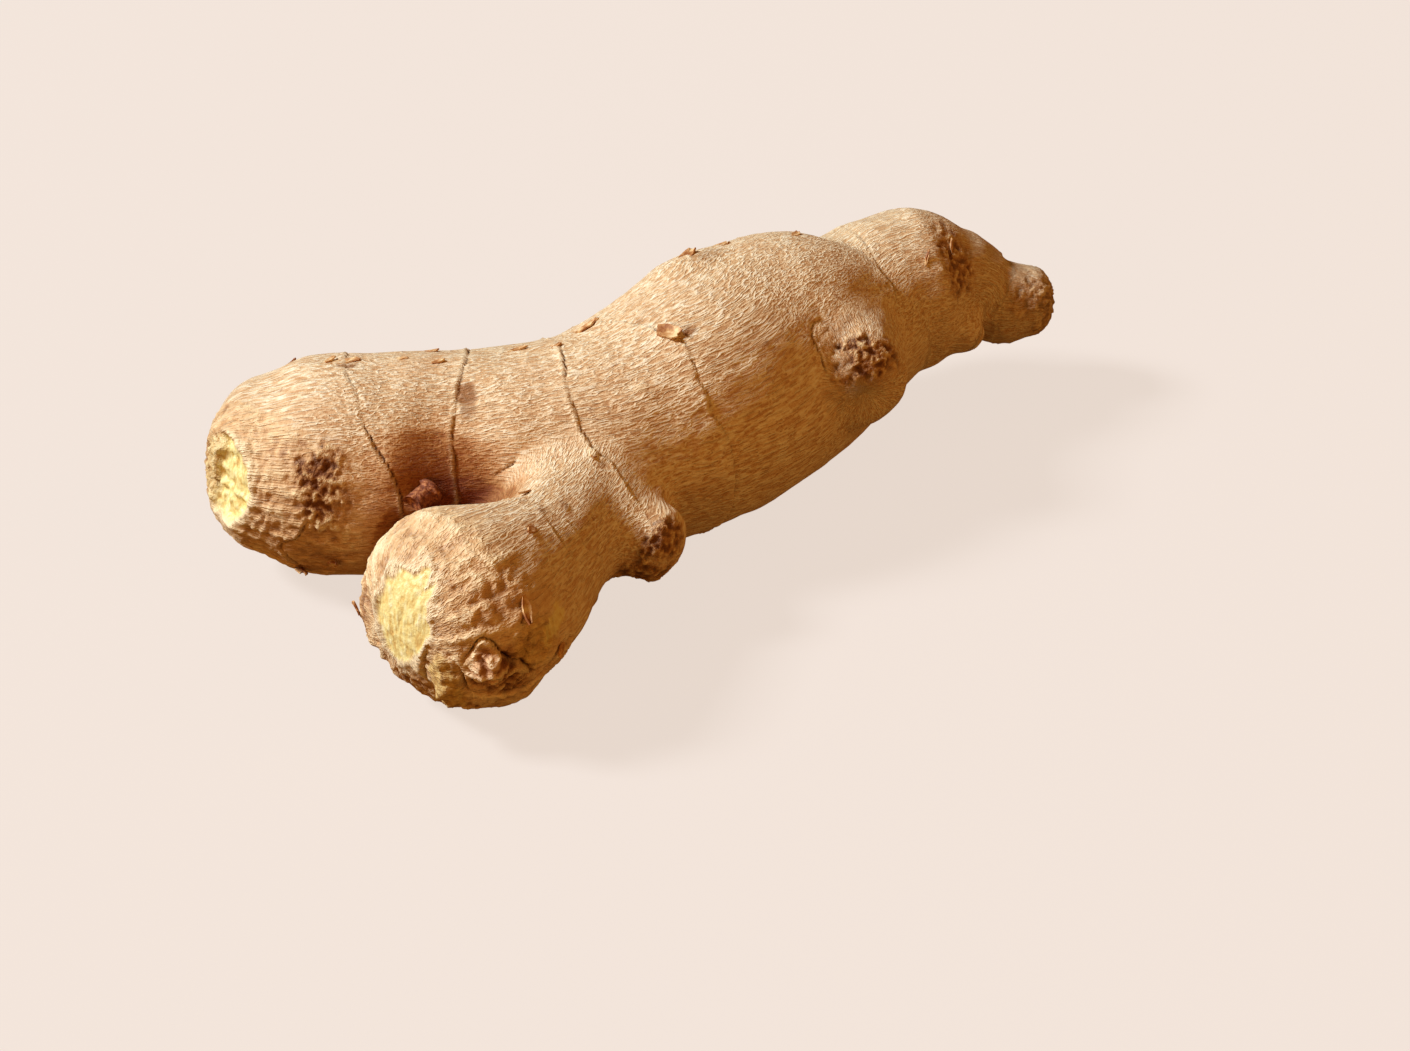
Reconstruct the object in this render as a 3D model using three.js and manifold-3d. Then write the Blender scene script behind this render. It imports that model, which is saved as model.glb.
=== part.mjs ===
// A fresh ginger root, lying as it would on a table: one rhizome that grew in one piece. Lobes follow each
// other along the main run, and shorter fingers and buds spring from them. Millimetres, +Z up, the main run
// along +X from the cut heel to the tip, the front finger towards -Y, and the origin under the middle of it.
import * as THREE from "three";
import { LoftGeometry } from "three/addons/geometries/LoftGeometry.js";
import { mergeVertices } from "three/addons/utils/BufferGeometryUtils.js";
import Module from "manifold-3d";

// The lobes of the main run, in growing order, each starting where the last one ends.
// length: along its middle line. width, height: its girth at the fullest. heading: which way it sets off, in
// degrees from +X, and turn: how much it bends by its end. swell: its girth as [share of length, share].
// middle: how high its middle line runs, where the lobe doesn't rest on the table.
const RUN = {
  heel: { length: 37, width: 44, height: 44, heading: -25, turn: 11,
    swell: [[0, 0.79], [0.26, 0.97], [0.58, 1]] },
  trunk: { length: 43, width: 46, height: 45.6, heading: -14, turn: 17,
    swell: [[0, 0.93], [0.36, 0.925], [0.7, 1]] },
  shoulder: { length: 58, width: 49.5, height: 49.5, heading: 31, turn: -12,
    swell: [[0.15, 1.02], [0.43, 1.03], [0.7, 0.96], [0.94, 0.76]] },
  knuckle: { length: 29, width: 34, height: 34, middle: 26.4, heading: 20, turn: -32,
    swell: [[0.2, 1.01], [0.52, 0.98], [0.88, 0.56]] },
  tip: { length: 12, width: 18, height: 18, middle: 21, heading: -26, turn: 2,
    swell: [[0.1, 1.02], [0.5, 1.02], [0.9, 0.84]] },
};

// The fingers and buds. on, at: the lobe or finger it springs from, and how far along that. out: how far its
// middle line runs past half the width of what it springs from. rise: how much it climbs by its end; one
// without it ends lying on the table.
const FINGERS = {
  frontFinger: { on: "trunk", at: 0.75, out: 41, width: 42, height: 41, heading: -117.5, turn: -40,
    swell: [[0, 0.68], [0.37, 0.62], [0.62, 0.69], [0.8, 0.86], [0.93, 0.97], [1, 0.9]] },
  sideStub: { on: "frontFinger", at: 0.37, out: -3.6, rise: -3.4, width: 20, height: 20, heading: -44, turn: 0,
    swell: [[0, 1.2], [0.5, 1], [1, 0.78]] },
  shoulderBud: { on: "shoulder", at: 0.8, out: 1.2, rise: 4.8, width: 27, height: 25, heading: -97, turn: 0,
    swell: [[0, 1.3], [0.6, 1.08], [1, 0.88]] },
  knuckleBud: { on: "knuckle", at: 0.62, out: -3, rise: -6, width: 9.5, height: 9.5, heading: -80, turn: 0,
    swell: [[0, 1.2], [1, 0.9]] },
  crotchNub: { on: "trunk", at: 0, out: 2.4, rise: 3.8, width: 4.6, height: 4.6, heading: -80, turn: -84,
    swell: [[0, 1], [0.5, 1], [0.8, 1], [1, 0.95]] },
};

const END_ROUND = 0.3; // how far an end bulges past its last girth, as a share of that girth
const CUT_REACH = 11; // from the middle of the heel's first girth out to its cut face
const CUT_LEAN = 40; // degrees that the cut face is turned from square, towards the front
const CUT_TILT = 10; // degrees that it looks upwards
const FLATTENING = 0.7; // how much of the underside is pressed flat where the root rests
const RING_SIDES = 28;
const RING_STEP = 3.4; // between rings along a finger
const CAP_RINGS = 5;
const SKIN = new THREE.MeshStandardMaterial({ color: 0xd2a676, roughness: 0.75, metalness: 0 });

const { degToRad, lerp } = THREE.MathUtils;
const UP = new THREE.Vector3(0, 0, 1);

// Each lobe and finger once it has its place, by name: { part, length, start, endHeight }.
const grown = {};

// Where the middle line of a lobe or finger is, at a share of its length.
function pointOn(name, share) {
  const { part, length, start, endHeight } = grown[name];
  const heading = degToRad(part.heading + (part.turn * share) / 2);
  const step = new THREE.Vector3(Math.cos(heading), Math.sin(heading), 0).multiplyScalar(length * share);
  return start.clone().add(step).setZ(lerp(start.z, endHeight, share));
}

// Its middle line's points and the girths there, one for each swell.
function stationsOf(name) {
  const { part } = grown[name];
  return part.swell.map(([along, share]) => ({
    point: pointOn(name, along),
    girth: new THREE.Vector2(part.width, part.height).multiplyScalar(share),
  }));
}

// One ring of points round the middle line, counterclockwise as seen from ahead.
function ring(centre, ahead, girth) {
  const side = new THREE.Vector3().crossVectors(UP, ahead).normalize();
  const above = new THREE.Vector3().crossVectors(ahead, side);
  return Array.from({ length: RING_SIDES }, (_, i) => {
    const angle = (i / RING_SIDES) * 2 * Math.PI;
    return centre
      .clone()
      .addScaledVector(side, (Math.cos(angle) * girth.x) / 2)
      .addScaledVector(above, (Math.sin(angle) * girth.y) / 2);
  });
}

// The rings that round off an end, from its last girth outwards.
function endRings(centre, outwards, ahead, girth) {
  const reach = END_ROUND * Math.max(girth.x, girth.y);
  return Array.from({ length: CAP_RINGS }, (_, i) => {
    const angle = ((i + 1) / (CAP_RINGS + 0.5)) * (Math.PI / 2);
    const moved = centre.clone().addScaledVector(outwards, Math.sin(angle) * reach);
    return ring(moved, ahead, girth.clone().multiplyScalar(Math.cos(angle)));
  });
}

// A closed, round-ended body lofted along a smooth line through the stations.
function body(stations) {
  const spine = new THREE.CatmullRomCurve3(stations.map(({ point }) => point));
  const girths = new THREE.SplineCurve(stations.map(({ girth }) => girth));
  const steps = Math.ceil(spine.getLength() / RING_STEP);
  const rings = Array.from({ length: steps + 1 }, (_, i) =>
    ring(spine.getPoint(i / steps), spine.getTangent(i / steps), girths.getPoint(i / steps)),
  );
  const ahead = [spine.getTangent(0), spine.getTangent(1)];
  const first = endRings(spine.getPoint(0), ahead[0].clone().negate(), ahead[0], girths.getPoint(0));
  const last = endRings(spine.getPoint(1), ahead[1], ahead[1], girths.getPoint(1));
  return new LoftGeometry([...first.reverse(), ...rings, ...last], { capStart: true, capEnd: true });
}

const wasm = await Module();
wasm.setup();

function solid(shape) {
  const { position } = shape.attributes;
  const bare = new THREE.BufferGeometry().setAttribute("position", position).setIndex(shape.index);
  const merged = mergeVertices(bare);
  const mesh = new wasm.Mesh({
    numProp: 3,
    vertProperties: merged.attributes.position.array,
    triVerts: new Uint32Array(merged.index.array),
  });
  return new wasm.Manifold(mesh);
}

function geometryOf(manifold) {
  const mesh = manifold.getMesh();
  return new THREE.BufferGeometry()
    .setAttribute("position", new THREE.BufferAttribute(mesh.vertProperties, 3))
    .setIndex(new THREE.BufferAttribute(mesh.triVerts, 1));
}

// The main run is one body through all its lobes, from the heel's start at the origin.
const runStations = [];
const next = new THREE.Vector3();
for (const [name, lobe] of Object.entries(RUN)) {
  const middle = lobe.middle ?? lobe.height / 2;
  grown[name] = { part: lobe, length: lobe.length, start: next.clone().setZ(middle), endHeight: middle };
  runStations.push(...stationsOf(name));
  next.copy(pointOn(name, 1));
}
let rhizome = solid(body(runStations));

for (const [name, part] of Object.entries(FINGERS)) {
  const start = pointOn(part.on, part.at);
  const length = grown[part.on].part.width / 2 + part.out;
  const endHeight = part.rise === undefined ? part.height / 2 : start.z + part.rise;
  grown[name] = { part, length, start, endHeight };
  rhizome = rhizome.add(solid(body(stationsOf(name))));
}

// The table that presses the underside flat, and the knife that cut the heel, as blocks to take away.
const bounds = new THREE.Box3().setFromBufferAttribute(geometryOf(rhizome).attributes.position);
const size = bounds.getSize(new THREE.Vector3());
const table = new THREE.BoxGeometry(2 * size.x, 2 * size.y, size.z);
table.translate(...bounds.getCenter(new THREE.Vector3()).setZ(FLATTENING - size.z / 2));

const knife = new THREE.BoxGeometry(size.z, 2 * size.z, 2 * size.z);
knife.translate(-CUT_REACH - size.z / 2, 0, 0);
knife.rotateY(degToRad(CUT_TILT));
knife.rotateZ(degToRad(RUN.heel.heading + CUT_LEAN));
knife.translate(...grown.heel.start);
rhizome = rhizome.subtract(solid(table)).subtract(solid(knife));

const root = new THREE.Group();
const mesh = new THREE.Mesh(geometryOf(rhizome), SKIN);
mesh.name = "ginger_root";
mesh.geometry.computeBoundingBox();
const middle = mesh.geometry.boundingBox.getCenter(new THREE.Vector3());
mesh.position.set(-middle.x, -middle.y, -FLATTENING);
root.add(mesh);

export default root;
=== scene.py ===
import math
import random

import bmesh
import bpy
import numpy as np
from mathutils import Matrix, Vector, noise
from mathutils.bvhtree import BVHTree


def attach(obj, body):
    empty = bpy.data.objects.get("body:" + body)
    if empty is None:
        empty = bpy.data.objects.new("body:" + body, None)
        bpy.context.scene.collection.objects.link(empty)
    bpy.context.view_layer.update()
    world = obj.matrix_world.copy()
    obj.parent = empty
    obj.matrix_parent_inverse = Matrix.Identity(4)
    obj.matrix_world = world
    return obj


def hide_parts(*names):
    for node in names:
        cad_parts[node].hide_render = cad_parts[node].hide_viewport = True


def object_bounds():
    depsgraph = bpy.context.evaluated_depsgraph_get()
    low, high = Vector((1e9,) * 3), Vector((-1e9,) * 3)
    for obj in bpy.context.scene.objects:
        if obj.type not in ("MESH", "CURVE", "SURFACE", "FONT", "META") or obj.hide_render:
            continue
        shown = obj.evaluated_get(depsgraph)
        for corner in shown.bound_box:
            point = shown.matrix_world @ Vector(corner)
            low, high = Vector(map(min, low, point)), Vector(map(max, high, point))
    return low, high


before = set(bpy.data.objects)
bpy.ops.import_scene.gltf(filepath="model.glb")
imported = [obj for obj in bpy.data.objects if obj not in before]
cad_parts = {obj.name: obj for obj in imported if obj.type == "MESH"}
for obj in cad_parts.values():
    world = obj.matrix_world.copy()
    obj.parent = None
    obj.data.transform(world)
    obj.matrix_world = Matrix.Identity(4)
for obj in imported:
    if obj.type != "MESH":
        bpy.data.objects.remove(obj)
cad_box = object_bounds()

MM = 0.001

# Every place on the root is told in millimetres: along a limb's middle line, and round it in degrees.
# Seen from the heel, 0 is the limb's left side, 90 its top, 180 its right side and 270 its underside.
# A last number, where there is one, leans the way out: 90 is square to the limb, 0 is straight ahead.

# The middle lines are drawn in a box of this size, standing on its bottom middle, and are stretched
# to the frame's own box. A stop is (x, y, z, half the girth).
DRAWN_BOX = (185.5, 105.7, 49.8)
MIDDLE_LINES = {
    "run": [
        (-81, 24.5, 21, 17.4), (-73, 20.5, 21, 21.3), (-62, 16.5, 21, 22), (-47, 12.5, 22, 21.3),
        (-31, 9.5, 22, 21.2), (-17, 8.5, 22, 23), (4, 12.5, 24, 25.2), (18, 20.5, 24, 25.5),
        (32, 26.5, 24, 23.8), (46, 31.5, 24, 18.8), (54, 34.5, 26, 17.2), (64, 35.5, 26, 16.7),
        (74, 35.5, 26, 10.5), (79, 34.5, 20, 9.2), (88, 30.5, 20, 7.6),
    ],
    "front_finger": [
        (-15, 8.5, 22, 14.3), (-25.6, -7.5, 21.5, 13.3), (-39.4, -21.1, 21, 14.4),
        (-51.4, -29.3, 20.5, 18.5), (-57.9, -32.8, 20, 20), (-62.2, -34.7, 20, 18.5),
    ],
    "side_stub": [(-28.6, -11.4, 21, 12), (-23, -16.8, 19.5, 10), (-17.5, -22, 18, 7.8)],
    "shoulder_bud": [(38, 28.5, 24, 17), (36, 13.5, 27, 14), (35, 3, 29, 11.5)],
    "knuckle_bud": [(67, 36, 26, 5.7), (69, 22.5, 20, 4.3)],
}

# The nub in the fork of the heel and the front finger: where it grows, which way, and how thick it is.
NUB_PLACE = ("run", 31.6, 164.5)
NUB_WAY = (-0.8, -0.55, -0.12)
NUB_WIDTH = 4.4
NUB_SUNK = 1.4

VOXEL = 0.97
LINE_STEP = 1.0
SEAM_STEP = 0.4
SEAM_REACH = 8
CUT_END = (9.3, 9.0)
FLAKE_THICKNESS = 0.3
SPECKS = 170
NOISE_KIND = "PERLIN_ORIGINAL"


def smoothstep(low, high, value):
    """0 below low, 1 above high and an even slope between; low may be the greater."""
    share = np.clip((value - low) / (high - low), 0, 1)
    return share * share * (3 - 2 * share)


def hump(reach):
    """A rounded mound: 1 in the middle, 0 from a reach of 1 outwards."""
    return np.clip(1 - reach * reach, 0, 1) ** 1.5


def notch(distance, width):
    """A bell of that width: 1 at no distance."""
    return np.exp(-((distance / width) ** 2))


def rounded(stops, step):
    """A Catmull-Rom line through the stops, with a point every step or so."""
    knots = np.array(stops, float)
    knots = np.vstack([2 * knots[0] - knots[1], knots, 2 * knots[-1] - knots[-2]])
    spans = []
    for a, b, c, d in zip(knots, knots[1:], knots[2:], knots[3:]):
        count = max(2, int(np.linalg.norm(c[:3] - b[:3]) / step))
        t = (np.arange(count) / count)[:, None]
        squared = (2 * a - 5 * b + 4 * c - d) * t**2
        cubed = (3 * b - a - 3 * c + d) * t**3
        spans.append(0.5 * (2 * b + (c - a) * t + squared + cubed))
    spans.append(knots[-2][None])
    return np.vstack(spans)


def unit(vectors):
    """The same vectors, each 1 long."""
    return vectors / np.maximum(np.linalg.norm(vectors, axis=-1, keepdims=True), 1e-9)


def nearest(points, line):
    """For each point, the number of the line's nearest point, and how far that is."""
    chunk = 4000
    number = np.zeros(len(points), int)
    distance = np.zeros(len(points))
    for start in range(0, len(points), chunk):
        part = points[start : start + chunk]
        gap = (part * part).sum(1)[:, None] - 2 * part @ line.T + (line * line).sum(1)
        number[start : start + chunk] = gap.argmin(1)
        distance[start : start + chunk] = np.sqrt(np.maximum(gap.min(1), 0))
    return number, distance


def speckle(points, size, seed=0, octaves=1, where=None):
    """Noise from about -1 to 1 at each point, with lumps about that size. where leaves the rest at 0."""
    result = np.zeros(len(points))
    chosen = range(len(points)) if where is None else np.flatnonzero(where > 0.001)
    spread = (np.asarray(points) + seed * 37.7) / size
    for i in chosen:
        place = Vector(spread[i])
        if octaves > 1:
            result[i] = noise.fractal(place, 1.0, 2.0, octaves, noise_basis=NOISE_KIND)
        else:
            result[i] = noise.noise(place, noise_basis=NOISE_KIND)
    return result


class Limb:
    """A limb's middle line: each point's place along it, round it and above its skin."""

    def __init__(self, stops, stretch):
        line = rounded(stops, LINE_STEP)
        self.middle = line[:, :3] * stretch
        self.girth = line[:, 3]
        self.ahead = unit(np.gradient(self.middle, axis=0))
        self.side = unit(np.cross([0, 0, 1], self.ahead))
        self.up = np.cross(self.ahead, self.side)
        strides = np.linalg.norm(np.diff(self.middle, axis=0), axis=1)
        self.travel = np.concatenate([[0], np.cumsum(strides)])

    def measure(self, points):
        """Along, to the side, up, and out from the skin, each in mm."""
        number, distance = nearest(points, self.middle)
        offset = points - self.middle[number]
        ahead = (offset * self.ahead[number]).sum(1)
        side = (offset * self.side[number]).sum(1)
        up = (offset * self.up[number]).sum(1)
        return self.travel[number] + ahead, side, up, distance - self.girth[number]

    def grain(self, points):
        """Places laid along the skin: they run together at the limb's ends, as the wrinkles do."""
        along, side, up, _ = self.measure(points)
        wide = self.girth.mean()
        radius = np.maximum(np.hypot(side, up), 0.5)
        return np.stack([along + wide - radius, side / radius * wide, up / radius * wide], 1)

    def ray(self, along, angle, lean):
        """The middle line's point that far along, and the way out: lean 90 is square to the line."""
        number = int(np.abs(self.travel - along).argmin())
        angle = math.radians(angle)
        lean = math.radians(lean)
        out = self.side[number] * math.cos(angle) + self.up[number] * math.sin(angle)
        return self.middle[number], out * math.sin(lean) + self.ahead[number] * math.cos(lean)


class Skin:
    """The skin while it is worked on, as arrays of points, normals and edges, in mm."""

    def __init__(self, mesh):
        self.mesh = mesh
        self.read()

    def read(self):
        count = len(self.mesh.vertices)
        flat = np.zeros(count * 3)
        self.mesh.vertices.foreach_get("co", flat)
        self.points = flat.reshape(-1, 3) / MM
        self.mesh.vertex_normals.foreach_get("vector", flat)
        self.normals = flat.reshape(-1, 3).copy()
        ends = np.zeros(len(self.mesh.edges) * 2, int)
        self.mesh.edges.foreach_get("vertices", ends)
        self.edges = ends.reshape(-1, 2)
        self.neighbours = np.bincount(ends, minlength=count)

    def write(self):
        self.mesh.vertices.foreach_set("co", (self.points * MM).astype(np.float32).ravel())
        self.mesh.update()
        self.read()

    def relax(self, rounds, share=1.0):
        """Moves each point towards the middle of its neighbours, by its share."""
        share = np.broadcast_to(share, len(self.points))[:, None] * 0.5
        for _ in range(rounds):
            total = np.zeros_like(self.points)
            np.add.at(total, self.edges[:, 0], self.points[self.edges[:, 1]])
            np.add.at(total, self.edges[:, 1], self.points[self.edges[:, 0]])
            self.points += (total / self.neighbours[:, None] - self.points) * share
        self.write()

    def tree(self):
        return BVHTree.FromPolygons(
            [tuple(p) for p in self.points], [tuple(f.vertices) for f in self.mesh.polygons]
        )


class Spot:
    """A place on the skin, and which way a patch there is laid: along the limb, or upright at its end."""

    def __init__(self, limb, along, angle, lean=90):
        start, way = limbs[limb].ray(along, angle, lean)
        place, normal, _, _ = surface.ray_cast(Vector(start), Vector(way))
        self.place = np.array(place)
        self.normal = np.array(normal)
        ahead = limbs[limb].ahead[int(np.abs(limbs[limb].travel - along).argmin())]
        if lean < 90:
            ahead = np.array([0.0, 0.0, 1.0])
        self.ahead = unit(ahead - (ahead @ self.normal) * self.normal)
        self.across = np.cross(self.normal, self.ahead)

    def reach(self, points, half_length, half_width, turn=0, ragged=0.0, size=2.0):
        """Each point's distance as a share of the patch: 1 is its edge, which may be ragged."""
        turn = math.radians(turn)
        offset = points - self.place
        near = np.linalg.norm(offset, axis=1) < 2.5 * max(half_length, half_width)
        a = offset @ (self.ahead * math.cos(turn) + self.across * math.sin(turn))
        b = offset @ (self.across * math.cos(turn) - self.ahead * math.sin(turn))
        c = offset @ self.normal
        longer = max(half_length, half_width)
        reach = np.sqrt((a / half_length) ** 2 + (b / half_width) ** 2 + (c / longer) ** 2)
        if ragged:
            reach = reach + ragged * speckle(points, size, seed=3, octaves=2, where=near)
        return np.where(near, reach, 9.0)


class Seam:
    """A line drawn on the skin through its stops, such as a ring where a leaf scale grew."""

    def __init__(self, stops, closed=False):
        spots = [Spot(limb, *stop) for limb, places in stops.items() for stop in places]
        if closed:
            spots = spots[-2:] + spots + spots[:2]
        line = rounded([spot.place for spot in spots], SEAM_STEP)
        placed = [surface.find_nearest(Vector(p)) for p in line]
        self.line = np.array([p[0] for p in placed])
        self.across = unit(np.cross(np.array([p[1] for p in placed]), np.gradient(self.line, axis=0)))
        strides = np.linalg.norm(np.diff(self.line, axis=0), axis=1)
        self.travel = np.concatenate([[0], np.cumsum(strides)])
        self.closed = closed

    def measure(self, points, wander=0.5):
        """Signed distance across, distance, and the share of the line's strength at its two ends."""
        number, distance = nearest(points, self.line)
        across = ((points - self.line[number]) * self.across[number]).sum(1)
        near = (distance < SEAM_REACH).astype(float)
        across = across + wander * speckle(points, 3.2, seed=11, octaves=2, where=near)
        fade = np.ones(len(points))
        if not self.closed:
            end = np.minimum(self.travel[number], self.travel[-1] - self.travel[number])
            fade = smoothstep(0, 4, end)
        fade = fade * (distance < SEAM_REACH)
        return across, distance, fade


def new_piece(name, net):
    """An object with the net as its mesh, in the scene."""
    mesh = bpy.data.meshes.new(name)
    net.to_mesh(mesh)
    net.free()
    piece = bpy.data.objects.new(name, mesh)
    bpy.context.scene.collection.objects.link(piece)
    return piece


def remeshed_root():
    """The frame's root as one even net of small faces."""
    net = bmesh.new()
    net.from_mesh(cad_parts["ginger_root"].data)
    bmesh.ops.remove_doubles(net, verts=net.verts, dist=1e-6)
    piece = new_piece("ginger_skin", net)
    remesh = piece.modifiers.new("even net", "REMESH")
    remesh.mode = "VOXEL"
    remesh.voxel_size = VOXEL * MM
    even = bpy.data.meshes.new_from_object(piece.evaluated_get(bpy.context.evaluated_depsgraph_get()))
    piece.modifiers.clear()
    piece.data = even
    even.name = "ginger_skin"
    return piece


def blended_forks(skin):
    """Rounds the creases where limbs meet, and smooths away what stands up in the heel's fork."""
    heights = {name: limb.measure(skin.points)[3] for name, limb in limbs.items()}
    open_side = smoothstep(-5, 6, limbs["front_finger"].measure(skin.points)[1])
    reaches = {
        "front_finger": 1.4 + 5.5 * open_side,
        "side_stub": np.full(len(skin.points), 4.5),
        "shoulder_bud": np.full(len(skin.points), 2.4),
        "knuckle_bud": np.full(len(skin.points), 1.2),
    }
    share = np.zeros(len(skin.points))
    for name, reach in reaches.items():
        others = [heights[other] for other in heights if other != name]
        gap = np.abs(heights[name] - np.min(others, axis=0))
        close = np.abs(np.minimum(heights[name], np.min(others, axis=0))) < 6
        share = np.maximum(share, smoothstep(reach, reach * 0.4, gap) * close)
    apart = np.min(list(heights.values()), axis=0)
    along = limbs["run"].measure(skin.points)[0]
    in_fork = (along > 25) * (along < 50) * (heights["front_finger"] < 8)
    share = np.maximum(share, smoothstep(0.7, 1.8, apart) * in_fork)
    skin.relax(90, share)


# Broad swellings and hollows: place, half length, half width, and how far out, in mm.
SWELLINGS = [
    (("run", 37, 145), 13, 22, -2.6),
    (("run", 15, 120), 12, 18, 1.0),
    (("front_finger", 42, 125), 15, 9, -2.4),
    (("front_finger", 65, 195, 75), 10, 9, 1.5),
    (("front_finger", 65, 290, 70), 9, 12, -1.3),
    (("front_finger", 50, 350), 13, 9, 1.6),
    (("run", 98, 62), 13, 10, 1.7),
    (("run", 157, 84), 9, 10, 1.7),
    (("run", 140, 70), 8, 10, -1.2),
    (("run", 170, 80), 5, 7, -0.8),
    (("shoulder_bud", 24, 80), 7, 9, 1.0),
]


def swollen(skin):
    """The skin with its broad swellings and hollows."""
    height = np.zeros(len(skin.points))
    for place, half_length, half_width, rise in SWELLINGS:
        height += rise * hump(Spot(*place).reach(skin.points, half_length, half_width))
    skin.points = skin.points + skin.normals * height[:, None]
    skin.write()


def subdivided(mesh, chosen):
    """Splits the chosen points' faces, so that the worked places have finer ones."""
    net = bmesh.new()
    net.from_mesh(mesh)
    net.verts.ensure_lookup_table()
    marked = set(np.flatnonzero(chosen))
    edges = [e for e in net.edges if e.verts[0].index in marked and e.verts[1].index in marked]
    bmesh.ops.subdivide_edges(net, edges=edges, cuts=1, use_grid_fill=True)
    bmesh.ops.triangulate(net, faces=[f for f in net.faces if len(f.verts) > 4])
    net.normal_update()
    net.to_mesh(mesh)
    net.free()
    mesh.update()


# Rings and cracks: their stops on each limb, then how deep the crack is, how high the lip beside it and how
# much higher the skin on that side, in mm, and the least share of its strength that the crack has.
SEAMS = {
    "heel_ring": dict(
        stops={
            "run": [
                (18.5, 94), (20.4, 106), (22.5, 128), (25.6, 144), (27.5, 162), (28, 190), (26, 225),
                (23, 270), (20, 315), (18, 0), (17.5, 50),
            ],
        },
        closed=True, crack=0.55, lip=0.22, step=0.18, least=0.4,
    ),
    "stain_ring": dict(
        stops={
            "run": [
                (41.3, 78), (39.5, 102), (38.2, 116), (37.7, 137), (37.1, 163), (36, 195), (36, 240),
                (38, 285), (41, 330), (43, 15), (42.5, 50),
            ],
        },
        closed=True, crack=0.5, lip=0.3, step=0.2, least=0.45,
    ),
    "fork_ring": dict(
        stops={
            "run": [(58, 30), (59.6, 80), (58.6, 120)],
            "front_finger": [(21.6, 75), (21.5, 57)],
            "side_stub": [(7.2, 81), (11.5, 92), (15.5, 101)],
        },
        closed=False, crack=0.32, lip=0.4, step=0.25, least=0.4,
    ),
    "trunk_ring": dict(
        stops={
            "run": [
                (72.3, 70), (78.9, 93), (80.2, 104), (82.7, 115), (81.6, 133), (80.9, 152), (81.7, 165),
                (82, 200), (80, 240), (76, 285), (72, 330), (70, 15), (70, 45),
            ],
        },
        closed=True, crack=0.48, lip=0.32, step=0.34, least=0.5,
    ),
    "neck_ring": dict(
        stops={
            "run": [
                (141.1, 96), (137.9, 118), (136.1, 137), (131, 164), (130, 195), (132, 240), (137, 290),
                (141, 340), (143, 30), (142, 65),
            ],
        },
        closed=True, crack=0.5, lip=0.25, step=0.2, least=0.35,
    ),
    "tip_ring": dict(
        stops={
            "run": [
                (173, 90), (172.5, 130), (173, 170), (173, 220), (174, 280), (174, 340), (173.5, 40),
            ],
        },
        closed=True, crack=0.2, lip=0.25, step=0.1, least=0.2,
    ),
    "finger_ring": dict(
        stops={
            "front_finger": [
                (44.5, 100), (42.3, 71), (41.4, 49), (40.9, 26), (38.9, 13), (39, 345), (42, 310),
                (45, 260), (47, 215), (48, 170), (47, 130),
            ],
        },
        closed=True, crack=0.35, lip=0.3, step=0.1, least=0.3,
    ),
    "finger_fold": dict(
        stops={
            "front_finger": [(43, 68), (44, 57), (45.1, 40), (44.2, 26), (42.5, 10), (42, 355)],
        },
        closed=False, crack=0.4, lip=0.2, step=0.1, least=0.45,
    ),
    "finger_rim": dict(
        stops={
            "front_finger": [
                (62, 83), (63.4, 62), (62.3, 47), (58, 37), (53.5, 24), (50, 11), (50.5, 357),
                (53, 345), (56, 334), (61, 328), (65.5, 332),
            ],
        },
        closed=False, crack=0.35, lip=0.35, step=0.25, least=0.4,
    ),
    "bud_crease": dict(
        stops={
            "run": [(99, 162), (100.5, 150), (101.5, 143), (105, 137), (110, 134)],
        },
        closed=False, crack=0.7, lip=0.25, step=0.0, least=0.8,
    ),
    "finger_flap": dict(
        stops={
            "front_finger": [(60.5, 29), (62.5, 22), (64.3, 16)],
        },
        closed=False, crack=0.6, lip=0.8, step=0.3, least=0.9,
    ),
    "nodule_crevice": dict(
        stops={
            "front_finger": [
                (64, 0, 60), (64, 10, 66), (64, 19, 75), (64, 5, 86), (62.5, 354), (60.5, 346),
            ],
        },
        closed=False, crack=1.4, lip=0.3, step=0.2, least=0.85,
    ),
    "knob_crevice": dict(
        stops={
            "front_finger": [(64, 20, 40), (64, 345, 34), (64, 322, 42), (64, 313, 55)],
        },
        closed=False, crack=0.9, lip=0.3, step=0.2, least=0.8,
    ),
    "knob_gap": dict(
        stops={
            "front_finger": [(64, 5, 58), (64, 350, 62), (64, 338, 66), (64, 328, 72)],
        },
        closed=False, crack=1.2, lip=0.2, step=0.0, least=0.9,
    ),
    "end_ledge": dict(
        stops={
            "front_finger": [(64, 335, 80), (62, 338), (59, 343), (55, 350), (52, 0)],
        },
        closed=False, crack=0.6, lip=0.45, step=0.3, least=0.7,
    ),
    "heel_peel": dict(
        stops={
            "run": [(12, 170), (10, 186), (7, 200), (8, 214), (10, 226)],
        },
        closed=False, crack=0.6, lip=0.4, step=0.3, least=0.8,
    ),
    "fork_slit": dict(
        stops={
            "run": [(49, 146), (47.5, 149), (46.3, 153), (44.5, 157), (42.5, 161)],
        },
        closed=False, crack=0.8, lip=0.25, step=0.0, least=0.7,
    ),
}


# What each point's skin is like, from 0 to 1; relief is what stands up, and is 0.5 on plain skin.
WORKED_MASKS = ("flesh", "crumb", "crack", "pale", "stain", "peel", "olive", "pink", "relief")


def note(masks, name, share):
    """Marks the places in that mask, where it isn't stronger already."""
    masks[name] = np.maximum(masks[name], share)


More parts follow.
